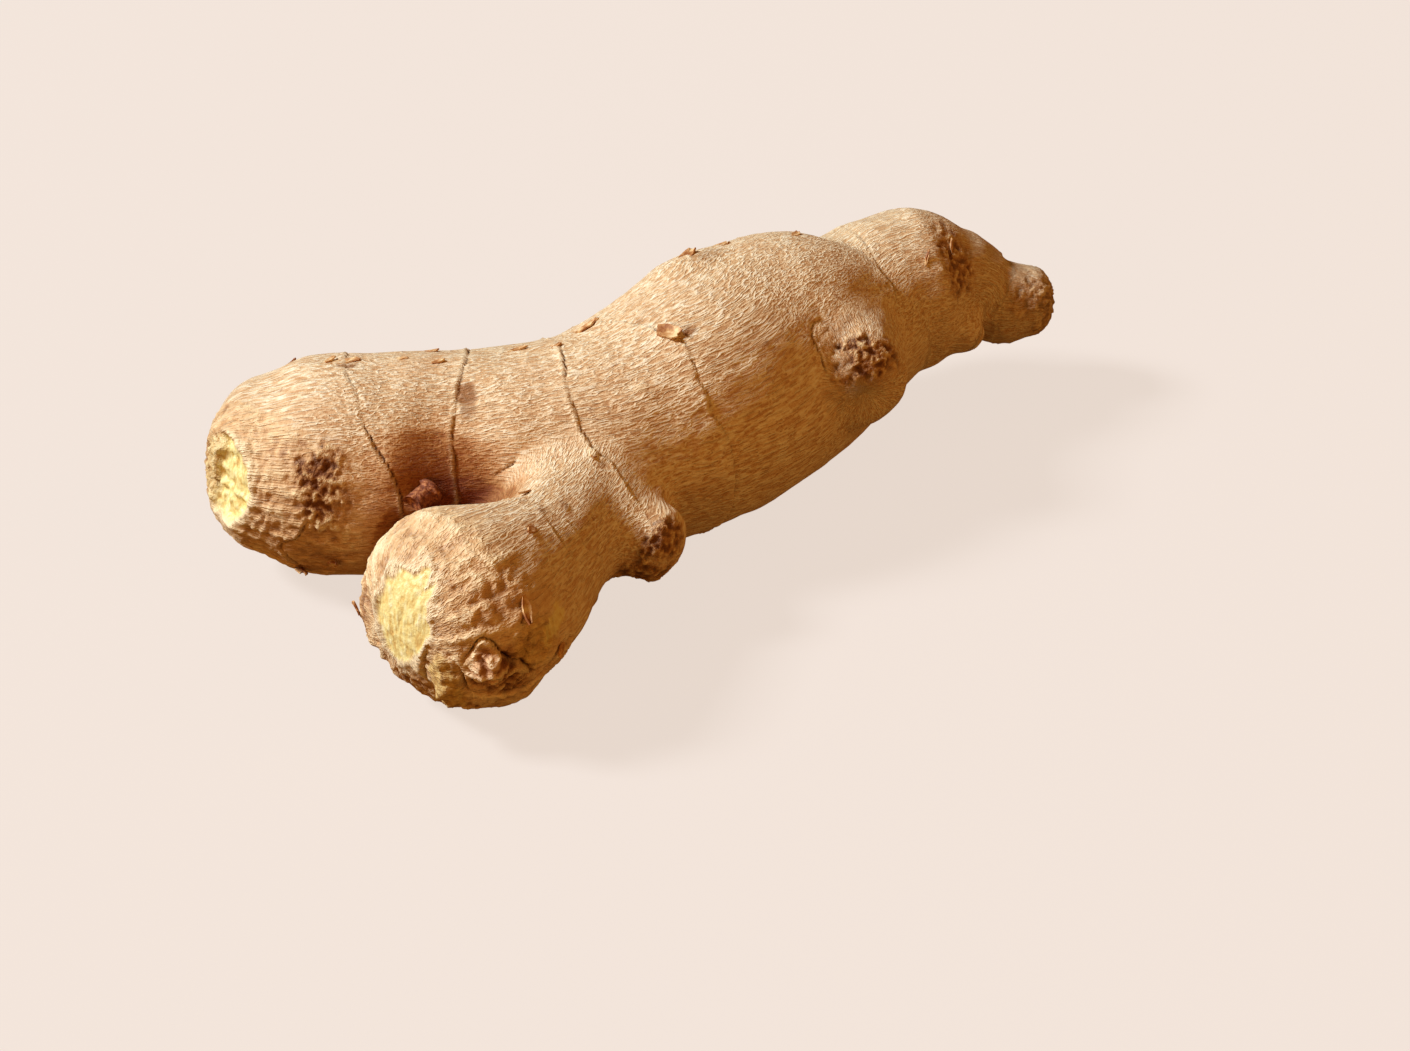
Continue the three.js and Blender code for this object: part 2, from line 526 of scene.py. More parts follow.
def seam_relief(skin, masks):
    """The rings' cracks and lips, as heights in mm; the cracks and lips are noted in the masks."""
    height = np.zeros(len(skin.points))
    broken = 0.5 + 1.3 * speckle(skin.points, 6, seed=21)
    for name, plan in SEAMS.items():
        across, distance, fade = seams[name].measure(skin.points)
        strength = fade * np.clip(broken, plan["least"], 1)
        close = smoothstep(2.4, 1.6, distance)
        crack = notch(across - 0.12, 0.24) * strength * close
        lip = notch(across + 0.42, 0.34) * fade * np.clip(broken + 0.1, 0.15, 1) * close
        shelf = smoothstep(-4.5, -0.6, across) * (across < 0) * strength * smoothstep(6, 4, distance)
        height += plan["lip"] * lip + plan["step"] * shelf - plan["crack"] * crack
        note(masks, "crack", crack * min(1.0, plan["crack"] * 2.2))
        note(masks, "pale", lip * 0.5)
    return height


def cut_end_relief(skin, masks):
    """The broken heel end: crumbly flesh inside a pale rim, brown and ragged on its far side."""
    spot = spots["cut_end"]
    points = skin.points
    reach = spot.reach(points, *CUT_END, ragged=0.09, size=3)
    inside = smoothstep(1.0, 0.86, reach)
    rim = notch(reach - 1.02, 0.1)
    crumbs = speckle(points, 1.5, seed=5, octaves=3, where=inside)
    lumps = speckle(points, 3.2, seed=6, octaves=2, where=inside)
    far_side = smoothstep(0.5, 5.5, (points - spot.place) @ np.array([-0.25, 0.93, 0.12]) + 2.5 * lumps)
    note(masks, "flesh", inside)
    note(masks, "pale", rim * (1 - far_side) * 1.1)
    note(masks, "crumb", np.maximum(inside, rim) * far_side * 0.8)
    grit = 0.65 * crumbs + 0.8 * lumps
    masks["relief"] = masks["relief"] + inside * 0.6 * grit
    sunk = inside * (grit * (0.6 + 0.6 * far_side) - 0.9 + 0.7 * far_side)
    return sunk + 0.45 * rim * (1 - 0.5 * far_side)


def heel_wrinkles(skin):
    """Thin curved folds drawn round the heel between its cut end and the scab."""
    side = limbs["run"].measure(skin.points)[1]
    reach = spots["cut_end"].reach(skin.points, *CUT_END)
    zone = smoothstep(1.0, 1.12, reach) * smoothstep(1.75, 1.4, reach) * smoothstep(6, -4, side)
    wave = reach * 9 + 1.5 * speckle(skin.points, 4.5, seed=8, octaves=2, where=zone)
    return 0.22 * zone * np.abs(np.sin(wave * math.pi / 1.7)) ** 3


# Crumbly scars: place, half length along the limb, half width, how rough, how brown.
SCARS = {
    "heel_scab": (("run", 13.9, 157), 5.4, 9.5, 0.6, 1.0),
    "knuckle_scab": (("run", 157, 131), 5.6, 8.2, 0.45, 0.95),
    "bud_scab": (("shoulder_bud", 26.2, 66, 45), 5.6, 7.4, 0.65, 1.0),
    "bud_crown": (("shoulder_bud", 26, 105, 80), 5, 8, 0.3, 0.3),
    "stub_scab": (("side_stub", 16.9, 128, 52), 4.8, 5.4, 0.45, 1.0),
    "stub_underside": (("side_stub", 16.9, 215, 75), 6, 8, 0.45, 0.9),
    "tip_scab": (("run", 180, 140, 75), 5.5, 7, 0.45, 0.6),
    "tip_end": (("run", 181.3, 200, 35), 6.5, 7, 0.4, 0.65),
    "tip_back": (("run", 181.3, 320, 60), 6, 6, 0.35, 0.7),
    "finger_crust": (("front_finger", 64, 190, 60), 10, 3.4, 0.5, 0.55),
    "finger_base": (("front_finger", 64, 292, 62), 5.5, 9, 0.45, 0.6),
    "finger_gap": (("front_finger", 64, 350, 88), 6.5, 5, 0.6, 0.85),
    "far_heel_scab": (("run", 8, 35, 90), 4, 6, 0.3, 0.5),
    "root_scar_back": (("run", 66, 12, 90), 4, 5, 0.4, 0.7),
    "root_scar_shoulder": (("run", 112, 350, 90), 5, 6, 0.4, 0.75),
    "root_scar_under": (("run", 50, 300, 90), 4, 5, 0.3, 0.6),
}


def scar_relief(skin, masks):
    """Crumbly, cracked places where buds and rootlets came away."""
    height = np.zeros(len(skin.points))
    for name, (_, half_length, half_width, rough, brown) in SCARS.items():
        reach = spots[name].reach(skin.points, half_length, half_width, ragged=0.4, size=3.0)
        zone = smoothstep(1.3, 0.55, reach)
        grit = speckle(skin.points, 0.9, seed=31, octaves=2, where=zone)
        clods = speckle(skin.points, 1.5, seed=32, octaves=3, where=zone)
        ridges = 0.5 - np.abs(speckle(skin.points, 1.9, seed=33, octaves=2, where=zone)) * 2.2
        rugged = 0.6 * grit + 0.45 * clods + 0.6 * ridges
        height += zone * rough * (rugged + 0.15)
        masks["relief"] = masks["relief"] + zone * 0.75 * (rugged - 0.1)
        note(masks, "crumb", zone * brown)
        note(masks, "crack", 0.7 * zone * rough * smoothstep(-0.3, -0.7, rugged))
    return height


def finger_end_relief(skin, masks, folds):
    """The broken end of the front finger: a scrape of fibres, a knob, a nodule and a round scar."""
    points = skin.points
    along = limbs["front_finger"].measure(points)[0]
    end = smoothstep(50, 62, along + 3 * speckle(points, 6, seed=41))
    wrinkle = speckle(points, 2.6, seed=42, octaves=3, where=end)
    rough = 0.5 - np.abs(wrinkle) * 2
    height = end * (0.28 * rough + 0.42 * folds)
    note(masks, "peel", end)
    masks["relief"] = masks["relief"] + end * (0.25 * rough + 0.4 * folds)

    spot = spots["scrape"]
    streaks = 0.35 * folds * smoothstep(0.5, 1.0, (points - spot.place) @ spot.ahead / 9)
    reach = spot.reach(points, 10.5, 6.6, turn=-14, ragged=0.22, size=3.5) - streaks
    scrape = smoothstep(1.04, 0.92, reach)
    note(masks, "flesh", scrape)
    note(masks, "pale", notch(reach - 1.12, 0.12))
    masks["peel"] = masks["peel"] * (1 - notch(reach - 1.1, 0.2))
    height = height * (1 - 0.8 * scrape) + notch(reach - 1.13, 0.1) * 0.35 - scrape * 0.4

    reach = spots["knob"].reach(points, 8.0, 3.7, turn=9, ragged=0.16)
    drop = smoothstep(2.0, -7.0, (points - spots["knob"].place)[:, 2])
    olive = smoothstep(1.05, 0.75, reach)
    masks["olive"] = olive
    pits = speckle(points, 1.8, seed=43, octaves=2, where=olive)
    height += (1.7 + 1.6 * drop) * hump(reach) + olive * 0.5 * pits

    reach = spots["nodule"].reach(points, 5.2, 3.9, turn=-14, ragged=0.3, size=2.6)
    pink = smoothstep(1.1, 0.8, reach)
    masks["pink"] = pink
    lumps = 0.5 - np.abs(speckle(points, 3.0, seed=44, octaves=3, where=pink)) * 2.2
    height += 2.1 * hump(reach) + 1.0 * pink * lumps
    masks["relief"] = masks["relief"] + pink * 0.7 * lumps

    reach = spots["round_scar"].reach(points, 5.6, 5.6, ragged=0.12)
    zone = smoothstep(1.35, 0.8, reach)
    height += 0.32 * zone * np.sin(reach * 5.6 * 2 * math.pi / 1.7) - 0.6 * hump(reach)
    note(masks, "olive", 0.8 * smoothstep(1.1, 0.6, reach))
    reach = spots["yellow_bit"].reach(points, 4.2, 2.2, turn=30, ragged=0.45, size=1.6)
    note(masks, "flesh", 0.8 * smoothstep(1.05, 0.8, reach))
    return height


# Small marks on the skin: place, half length, half width, the mask it goes in, how strong, how high.
MARKS = {
    "lenticel": (("run", 18.2, 85), 2.5, 0.9, "stain", 1.0, -0.2),
    "stain": (("run", 40.3, 109), 2.3, 2.6, "stain", 0.9, -0.2),
    "stain_tail": (("run", 40.6, 118), 1.7, 2.6, "stain", 0.6, -0.1),
    # Painted shadow: a dark patch in the stain mask where the trunk ring's flap shades the skin.
    "flap_shadow": (("run", 84.3, 109), 1.6, 1.1, "stain", 1.0, -0.4),
    "yellow_crust": (("front_finger", 22.3, 74), 1.4, 1.0, "pale", 1.0, 0.5),
    "trunk_pimple": (("run", 71, 126), 1.2, 1.2, "pale", 0.7, 0.4),
    "finger_pimple": (("front_finger", 39, 62), 1.0, 1.4, "stain", 0.6, 0.35),
    "shoulder_rub": (("run", 101, 74), 5.0, 2.2, "stain", 0.35, 0.1),
}


def mark_relief(skin, masks):
    """The lenticel, the stains, a painted shadow beside the trunk ring's flap, and the pimples that each
    have their own place.
    """
    height = np.zeros(len(skin.points))
    for name, (_, half_length, half_width, mask, strength, rise) in MARKS.items():
        reach = spots[name].reach(skin.points, half_length, half_width, ragged=0.3, size=1.5)
        zone = smoothstep(1.1, 0.7, reach)
        note(masks, mask, zone * strength)
        height += rise * zone
    return height


def scattered_relief(skin, masks):
    """Small pimples and dents all over the skin, the same each run."""
    height = np.zeros(len(skin.points))
    order = random.Random(7)
    for _ in range(SPECKS):
        centre = order.randrange(len(skin.points))
        size = order.uniform(0.7, 1.7)
        rise = order.choice((-0.22, 0.25, 0.3))
        brown = order.uniform(0.1, 0.6)
        offset = skin.points - skin.points[centre]
        reach = np.linalg.norm(offset, axis=1) / size
        zone = hump(reach)
        height += rise * zone
        note(masks, "stain", zone * brown * (order.random() < 0.45))
    return height


def grain_coordinates(skin):
    """Each point's place along and across the grain of the run, the front finger and the buds."""
    heights = {name: limb.measure(skin.points)[3] for name, limb in limbs.items()}
    along, side, up = limbs["run"].grain(skin.points).T
    twist = np.radians(0.3) * (np.clip(along, 84, 136) - 84)
    turned = (side * np.cos(twist) - up * np.sin(twist), side * np.sin(twist) + up * np.cos(twist))
    grains = {
        "run_grain": np.stack([along, *turned], 1),
        "finger_grain": limbs["front_finger"].grain(skin.points),
        "bud_grain": limbs["shoulder_bud"].grain(skin.points),
    }
    finger = np.minimum(heights["front_finger"], heights["side_stub"])
    shares = {
        "finger_share": smoothstep(-2.5, 2.5, heights["run"] - finger),
        "bud_share": smoothstep(-1.5, 1.5, np.minimum(heights["run"], finger) - heights["shoulder_bud"]),
    }
    return grains, shares


def sheltered(skin):
    """How closed in each point is, for the painted shade: 0 in the open, 1 deep in a fork; rays that would
    meet the floor within 12 mm count a little too.
    """
    tree = skin.tree()
    order = random.Random(5)
    ways = []
    for _ in range(14):
        way = Vector([order.gauss(0, 1) for _ in range(3)])
        ways.append(way.normalized())
    hidden = np.zeros(len(skin.points))
    for i, (point, normal) in enumerate(zip(skin.points, skin.normals)):
        normal = Vector(normal)
        start = Vector(point) + normal * 0.6
        for way in ways:
            out = way if way.dot(normal) > 0 else -way
            weight = out.dot(normal)
            if tree.ray_cast(start, out, 30)[0] is not None:
                hidden[i] += weight
            elif start.z + out.z * 12 < 0:
                hidden[i] += weight * 0.35
    return np.clip(hidden / len(ways) * 2, 0, 1)


def shaped_skin():
    """The skin as a piece, with its worked relief, its masks and its grain."""
    piece = remeshed_root()
    skin = Skin(piece.data)
    skin.relax(3)
    blended_forks(skin)

    global surface
    surface = skin.tree()
    swollen(skin)
    surface = skin.tree()
    places = {
        "cut_end": ("run", 0, 161, 113),
        "scrape": ("front_finger", 64, 80, 25),
        "knob": ("front_finger", 64, 333, 54),
        "nodule": ("front_finger", 64, 358, 76),
        "round_scar": ("front_finger", 59.5, 5),
        "yellow_bit": ("front_finger", 56.4, 8),
        "fork_shade": ("run", 34, 166),
    }
    places.update({name: scar[0] for name, scar in SCARS.items()})
    places.update({name: mark[0] for name, mark in MARKS.items()})
    spots.update({name: Spot(*place) for name, place in places.items()})
    seams.update({name: Seam(plan["stops"], plan["closed"]) for name, plan in SEAMS.items()})

    fine = limbs["front_finger"].measure(skin.points)[0] > 56
    fine |= spots["cut_end"].reach(skin.points, 11, 11) < 1
    for name, (_, half_length, half_width, rough, _) in SCARS.items():
        fine |= (spots[name].reach(skin.points, half_length, half_width) < 1.15) & (rough > 0.36)
    for seam in seams.values():
        fine |= nearest(skin.points, seam.line)[1] < 1.7
    subdivided(piece.data, fine)
    skin.read()
    skin.relax(2)

    masks = {name: np.zeros(len(skin.points)) for name in WORKED_MASKS}
    grains, shares = grain_coordinates(skin)
    height = 0.55 * speckle(skin.points, 17, seed=1) + 0.22 * speckle(skin.points, 7, seed=2, octaves=2)
    stretched = grains["run_grain"] * np.array([0.22, 1, 1])
    fingerlike = grains["finger_grain"] * np.array([0.22, 1, 1])
    folds = speckle(stretched, 2.6, seed=3, octaves=2) * (1 - shares["finger_share"])
    folds += speckle(fingerlike, 2.6, seed=3, octaves=2) * shares["finger_share"]
    height += 0.13 * folds
    height += seam_relief(skin, masks)
    height += cut_end_relief(skin, masks)
    height += heel_wrinkles(skin)
    height += scar_relief(skin, masks)
    height += finger_end_relief(skin, masks, folds)
    height += mark_relief(skin, masks)
    height += scattered_relief(skin, masks)
    # Painted shade: the skin is marked darker where the root closes in on itself or lies close above the
    # floor, and in a broad patch on the heel's side of the fork.
    fork_shade = hump(spots["fork_shade"].reach(skin.points, 17, 24))
    masks["dirt"] = np.clip(sheltered(skin) + 0.42 * fork_shade, 0, 1)

    skin.points = skin.points + skin.normals * height[:, None]
    skin.points[:, 2] = np.maximum(skin.points[:, 2], 0)
    skin.write()
    masks["relief"] = np.clip(0.5 + masks["relief"], 0, 1)
    masks.update(shares)
    for name, values in masks.items():
        layer = piece.data.attributes.new(name, "FLOAT", "POINT")
        layer.data.foreach_set("value", values.astype(np.float32))
    for name, values in grains.items():
        layer = piece.data.attributes.new(name, "FLOAT_VECTOR", "POINT")
        layer.data.foreach_set("vector", values.astype(np.float32).ravel())
    piece.data.polygons.foreach_set("use_smooth", [True] * len(piece.data.polygons))
    return piece


def broken_nub():
    """The short dark stub in the fork: a peg with a collar at its root and a ragged, hollow end."""
    root = Vector(Spot(*NUB_PLACE).place)
    way = Vector(NUB_WAY).normalized()
    order = random.Random(3)
    net = bmesh.new()
    bmesh.ops.create_circle(net, cap_ends=True, segments=20, radius=NUB_WIDTH * 0.62)
    rings = [(0.9, 0.66), (1.15, 0.5), (1.6, 0.49)] + [(1.6 + i * 0.63, 0.5) for i in range(1, 7)]
    lift = 0.0
    for height, girth in rings:
        face = max(net.faces, key=lambda f: f.calc_center_median().z)
        grown = bmesh.ops.extrude_face_region(net, geom=[face])["geom"]
        bmesh.ops.delete(net, geom=[face], context="FACES_ONLY")
        points = [v for v in grown if isinstance(v, bmesh.types.BMVert)]
        bmesh.ops.translate(net, verts=points, vec=(0, 0, height - lift))
        wide = sum(math.hypot(v.co.x, v.co.y) for v in points) / len(points)
        share = NUB_WIDTH * girth / wide
        bmesh.ops.scale(net, verts=points, vec=(share, share, 1))
        lift = height
    end = max(net.faces, key=lambda f: f.calc_center_median().z)
    bmesh.ops.inset_region(net, faces=[end], thickness=0.5, depth=-0.5, use_even_offset=True)
    bmesh.ops.triangulate(net, faces=[f for f in net.faces if len(f.verts) > 4])
    bmesh.ops.subdivide_edges(net, edges=net.edges, cuts=1, use_grid_fill=True)
    bmesh.ops.triangulate(net, faces=net.faces)
    for vertex in net.verts:
        ragged = 0.09 + 0.2 * (vertex.co.z > lift - 0.3)
        bump = noise.noise(vertex.co * 0.9 + Vector((9, 2, 5))) + 0.6 * noise.noise(vertex.co * 2.2)
        push = Vector((vertex.co.x * 0.45, vertex.co.y * 0.45, order.uniform(0.4, 1.0)))
        vertex.co += push * bump * ragged
    turn = way.to_track_quat("Z", "Y").to_matrix().to_4x4()
    place = Matrix.Translation(root - way * NUB_SUNK) @ turn
    bmesh.ops.transform(net, matrix=Matrix.Scale(MM, 4) @ place, verts=net.verts)
    bmesh.ops.recalc_face_normals(net, faces=net.faces)
    for face in net.faces:
        face.smooth = True
    return new_piece("broken_nub", net)


# Loose scraps of skin that still hang on: place, length, width, turn, and how far the tip lifts, in mm.
FLAKES = [
    (("run", 17, 80), 6.0, 2.2, 10, 0.9), (("run", 81.5, 105), 5.0, 4.0, -60, 1.6),
    (("run", 13.9, 78), 2.4, 1.4, 40, 0.7), (("run", 29.8, 79), 3.0, 1.4, 5, 0.6),
    (("run", 35, 66), 3.4, 1.6, -20, 0.7), (("run", 36.6, 84), 2.6, 1.3, 15, 0.6),
    (("run", 52, 76), 4.0, 1.5, 8, 0.6), (("run", 58, 82), 3.0, 1.4, 30, 0.6),
    (("run", 70, 72), 5.0, 2.0, 0, 0.9), (("run", 99.9, 67), 5.5, 3.0, 10, 1.1),
    (("run", 107, 66), 6.0, 2.4, -5, 1.0), (("run", 122.9, 78), 3.0, 1.5, 30, 0.6),
    (("run", 8.5, 222), 4.0, 3.0, 60, 1.6), (("run", 14.4, 206), 3.0, 2.2, 80, 1.2),
    (("front_finger", 60.5, 26), 5.5, 2.0, 70, 1.5), (("front_finger", 56, 352), 3.0, 1.8, 30, 1.3),
    (("front_finger", 64, 190, 62), 3.0, 1.8, 20, 1.2), (("front_finger", 50, 60), 3.2, 1.6, 10, 0.8),
    (("front_finger", 22.5, 72), 2.2, 1.8, 0, 1.0), (("front_finger", 40, 95), 3.2, 1.3, 0, 0.7),
    (("run", 157, 118), 3.0, 0.9, 80, 0.9), (("run", 148, 128), 3.4, 0.8, 60, 0.9),
    (("run", 0, 20, 100), 3.0, 2.0, 0, 1.0), (("run", 4, 60), 2.6, 1.4, 20, 0.8),
]


def papery_flakes():
    """Thin curled scraps of skin, each closed, all in one mesh."""
    net = bmesh.new()
    order = random.Random(12)
    for place, length, width, turn, lift in FLAKES:
        spot = Spot(*place)
        side = unit(np.cross(spot.normal, spot.ahead))
        stand = Matrix((spot.ahead, side, spot.normal)).transposed().to_4x4()
        spin = Matrix.Rotation(math.radians(turn), 4, "Z")
        stand = Matrix.Translation(Vector(spot.place)) @ stand @ spin
        sheet = bmesh.ops.create_grid(net, x_segments=5, y_segments=3, size=0.5)["verts"]
        for vertex in sheet:
            x, y = vertex.co.x, vertex.co.y
            taper = 1 - 0.75 * abs(x) ** 1.5 * 2
            ragged = order.uniform(0.82, 1.12)
            curl = 0.55 * lift * (x + 0.5) ** 2 + 0.35 * lift * (y * 2) ** 2 * (x + 0.5)
            vertex.co = Vector((x * length * ragged, y * width * taper * ragged, curl - 0.1))
        faces = list({face for vertex in sheet for face in vertex.link_faces})
        bmesh.ops.recalc_face_normals(net, faces=faces)
        thick = bmesh.ops.solidify(net, geom=faces, thickness=FLAKE_THICKNESS)["geom"]
        points = {v for v in thick if isinstance(v, bmesh.types.BMVert)} | set(sheet)
        bmesh.ops.transform(net, matrix=stand, verts=list(points))
    bmesh.ops.recalc_face_normals(net, faces=net.faces)
    bmesh.ops.scale(net, verts=net.verts, vec=(MM, MM, MM))
    return new_piece("papery_flakes", net)


class Wire:
    """A node's socket. Arithmetic on it adds Math nodes, and add() adds any other node."""

    def __init__(self, tree, socket=None):
        self.tree = tree
        self.socket = socket

    def add(self, kind, settings=None, inputs=None, output=0):
        """A new node with its settings, its inputs' values or wires, and the output asked for."""
        node = self.tree.nodes.new(kind)
        for name, value in (settings or {}).items():
            if name == "stops":
                self.set_stops(node.color_ramp, value)
            else:
                setattr(node, name, value)
        for name, value in (inputs or {}).items():
            if isinstance(value, Wire):
                self.tree.links.new(value.socket, node.inputs[name])
            else:
                node.inputs[name].default_value = value
        return Wire(self.tree, node.outputs[output])

    @staticmethod
    def set_stops(ramp, stops):
        """Gives a colour ramp its stops, each a place and a colour."""
        while len(ramp.elements) < len(stops):
            ramp.elements.new(0.5)
        for element, (place, colour) in zip(ramp.elements, stops):
            element.position = place
            element.color = colour

    def math(self, operation, other, swapped=False, clamp=False):
        inputs = {0: other, 1: self} if swapped else {0: self, 1: other}
        return self.add("ShaderNodeMath", {"operation": operation, "use_clamp": clamp}, inputs)

    def __add__(self, other):
        return self.math("ADD", other)

    def __sub__(self, other):
        return self.math("SUBTRACT", other)

    def __mul__(self, other):
        return self.math("MULTIPLY", other)

    def __radd__(self, other):
        return self.math("ADD", other)

    def __rsub__(self, other):
        return self.math("SUBTRACT", other, swapped=True)

    def __rmul__(self, other):
        return self.math("MULTIPLY", other)

    def clamped(self):
        return self.math("ADD", 0.0, clamp=True)

    def slope(self, low, high):
        """0 at low, 1 at high, with an even slope between."""
        inputs = {"Value": self, "From Min": low, "From Max": high}
        return self.add("ShaderNodeMapRange", {"interpolation_type": "SMOOTHSTEP"}, inputs)

    def ramp(self, *stops):
        """A colour for each value, between the stops."""
        return self.add("ShaderNodeValToRGB", {"stops": stops}, {0: self})

    def value(self, name):
        """The piece's own attribute of that name, as a number."""
        return self.add("ShaderNodeAttribute", {"attribute_name": name}, output=2)

    def vector(self, name):
        """The piece's own attribute of that name, as a vector."""
        return self.add("ShaderNodeAttribute", {"attribute_name": name}, output=1)

    def stretched(self, shares):
        """This vector with each of its parts multiplied."""
        return self.add("ShaderNodeVectorMath", {"operation": "MULTIPLY"}, {0: self, 1: shares})

    def noise(self, size, detail=2.0, roughness=0.5, distortion=0.0):
        """Soft noise from 0 to 1 at this place, with lumps about that size."""
        inputs = {
            "Vector": self,
            "Scale": 1 / size,
            "Detail": detail,
            "Roughness": roughness,
            "Distortion": distortion,
        }
        return self.add("ShaderNodeTexNoise", {}, inputs)

    def mix(self, share, other):
        """This colour, with that share of another over it."""
        settings = {"data_type": "RGBA", "clamp_factor": True}
        return self.add("ShaderNodeMix", settings, {0: share, 6: self, 7: other}, output=2)

    def multiplied(self, share, other):
        """This colour, multiplied by another by that share."""
        settings = {"data_type": "RGBA", "blend_type": "MULTIPLY", "clamp_factor": True}
        return self.add("ShaderNodeMix", settings, {0: share, 6: self, 7: other}, output=2)


def tone(red, green, blue):
    """A colour told in screen values from 0 to 255, as linear light."""
    parts = [v / 255 for v in (red, green, blue)]
    return tuple(v / 12.92 if v <= 0.04045 else ((v + 0.055) / 1.055) ** 2.4 for v in parts) + (1.0,)


def new_material(name):
    """A material with a Principled shader, its tree as a wire, and the shader."""
    material = bpy.data.materials.new(name)
    material.use_nodes = True
    shader = material.node_tree.nodes["Principled BSDF"]
    return material, Wire(material.node_tree), shader


def grain_height(place):
    """Fine wavy ridges that run along the grain, from 0 to 1."""
    fine = place.stretched((0.28, 1.0, 1.0)).noise(0.38, detail=1.0, roughness=0.5, distortion=0.4)
    broad = place.stretched((0.26, 1.0, 1.0)).noise(0.72, detail=1.0, roughness=0.45, distortion=0.4)
    ridge = (broad - 0.5).math("ABSOLUTE", 0.0).slope(0.1, 0.0)
    return 0.5 * fine.slope(0.3, 0.72) + 0.5 * ridge


def blended(wire, layers):
    """The heights of the run's, the finger's and the buds' grain, each where it belongs."""
    run, finger, bud = layers
    finger_share = wire.value("finger_share")
    bud_share = wire.value("bud_share")
    both = run + (finger - run) * finger_share
    return both + (bud - both) * bud_share


def ginger_skin_material():
    """Papery tan skin, wrinkled along the grain, with flesh, scabs, cracks and stains by mask, and painted
    shade darkening the forks and the skin near the floor.
    """
    material, wire, shader = new_material("ginger_skin")
    names = ("run_grain", "finger_grain", "bud_grain")
    place = wire.add("ShaderNodeTexCoord", output=3).stretched((1 / MM,) * 3)
    wrinkles = blended(wire, [grain_height(wire.vector(name)) for name in names])
    pores = place.noise(0.42, detail=2.0, roughness=0.6)
    patchy = place.noise(11, detail=3.0, roughness=0.55)
    cloudy = place.noise(30, detail=2.0)
    fleck = place.noise(1.7, detail=3.0, roughness=0.65)
    flesh, crumb, crack, pale, stain, peel, olive, pink, relief, dirt = [
        wire.value(name) for name in (*WORKED_MASKS, "dirt")
    ]

    grain = (0.62 * wrinkles + 0.38 * pores).clamped()
    skin = grain.ramp(
        (0.1, tone(178, 126, 80)),
        (0.3, tone(214, 174, 128)),
        (0.5, tone(234, 209, 171)),
        (0.76, tone(248, 235, 209)),
    )
    skin = skin.mix(patchy.slope(0.52, 0.75) * 0.4, tone(206, 160, 114))
    skin = skin.mix(cloudy.slope(0.5, 0.7) * 0.25, tone(228, 198, 160))
    skin = skin.mix(fleck.slope(0.64, 0.72) * 0.6, tone(164, 106, 60))
    # Painted shade: the colour is multiplied darker and browner in the forks and low down near the floor,
    # by the shade mask made from sheltered().
    skin = skin.multiplied(dirt.slope(0.05, 0.6), tone(226, 182, 128))
    skin = skin.multiplied(dirt.slope(0.22, 0.85), tone(148, 100, 42))

    husk = (0.6 * relief + 0.4 * fleck).ramp(
        (0.26, tone(156, 104, 58)),
        (0.42, tone(204, 156, 104)),
        (0.54, tone(228, 190, 140)),
        (0.68, tone(248, 226, 182)),
    )
    skin = skin.mix(peel * 0.7, husk)
    # The stain mask holds real brown stains, and also the painted shadow beside the trunk ring's flap.
    skin = skin.mix(stain * 0.9, tone(140, 84, 30))

    crumbs = (0.62 * relief + 0.38 * place.noise(1.0, detail=3.0, roughness=0.65)).ramp(
        (0.28, tone(118, 64, 28)),
        (0.42, tone(166, 110, 62)),
        (0.54, tone(200, 152, 100)),
        (0.68, tone(236, 206, 158)),
    )
    skin = skin.mix(crumb * 0.92, crumbs)
    greenish = place.noise(1.6, detail=3.0).ramp(
        (0.32, tone(158, 114, 54)), (0.5, tone(206, 168, 96)), (0.68, tone(232, 206, 138))
    )
    skin = skin.mix(olive * 0.85, greenish)
    rosy = (0.6 * relief + 0.4 * place.noise(1.8, detail=3.0)).ramp(
        (0.3, tone(158, 102, 62)), (0.48, tone(222, 176, 132)), (0.66, tone(246, 220, 182))
    )
    skin = skin.mix(pink * 0.85, rosy)
    skin = skin.mix(pale * 0.75, tone(246, 226, 186))

    fibres = place.stretched((1.0, 1.0, 0.22)).noise(0.9, detail=3.0, roughness=0.6)
    pulp = (0.6 * fibres + 0.4 * place.noise(1.3, detail=3.0)).clamped()
    yellow = pulp.ramp(
        (0.33, tone(214, 174, 104)),
        (0.43, tone(232, 206, 132)),
        (0.53, tone(243, 230, 162)),
        (0.68, tone(252, 246, 206)),
    )
    flesh_share = (flesh * (1 - crumb * 0.8)).clamped()
    skin = skin.mix(flesh_share, yellow)
    skin = skin.mix(crack.slope(0.15, 0.95) * 0.88, tone(92, 44, 18))

    plain = (1 - (flesh + crumb * 0.7).clamped()).clamped()
    height = (wrinkles * 0.21 + pores * 0.14) * plain
    height = height + place.noise(0.6, detail=3.0, roughness=0.65) * crumb * 0.8
    height = height + pulp * flesh * 0.35
    height = height + place.noise(1.0, detail=3.0, roughness=0.55) * peel * 0.22
    bump = wire.add("ShaderNodeBump", {}, {"Strength": 1.0, "Distance": MM, "Height": height})
    roughness = 0.62 + (patchy - 0.5) * 0.3 - flesh * 0.22 + crumb * 0.12 + dirt * 0.2

    tree = material.node_tree
    tree.links.new(skin.socket, shader.inputs["Base Color"])
    tree.links.new(roughness.socket, shader.inputs["Roughness"])
    tree.links.new(bump.socket, shader.inputs["Normal"])
    shader.inputs["Specular IOR Level"].default_value = 0.4
    return material


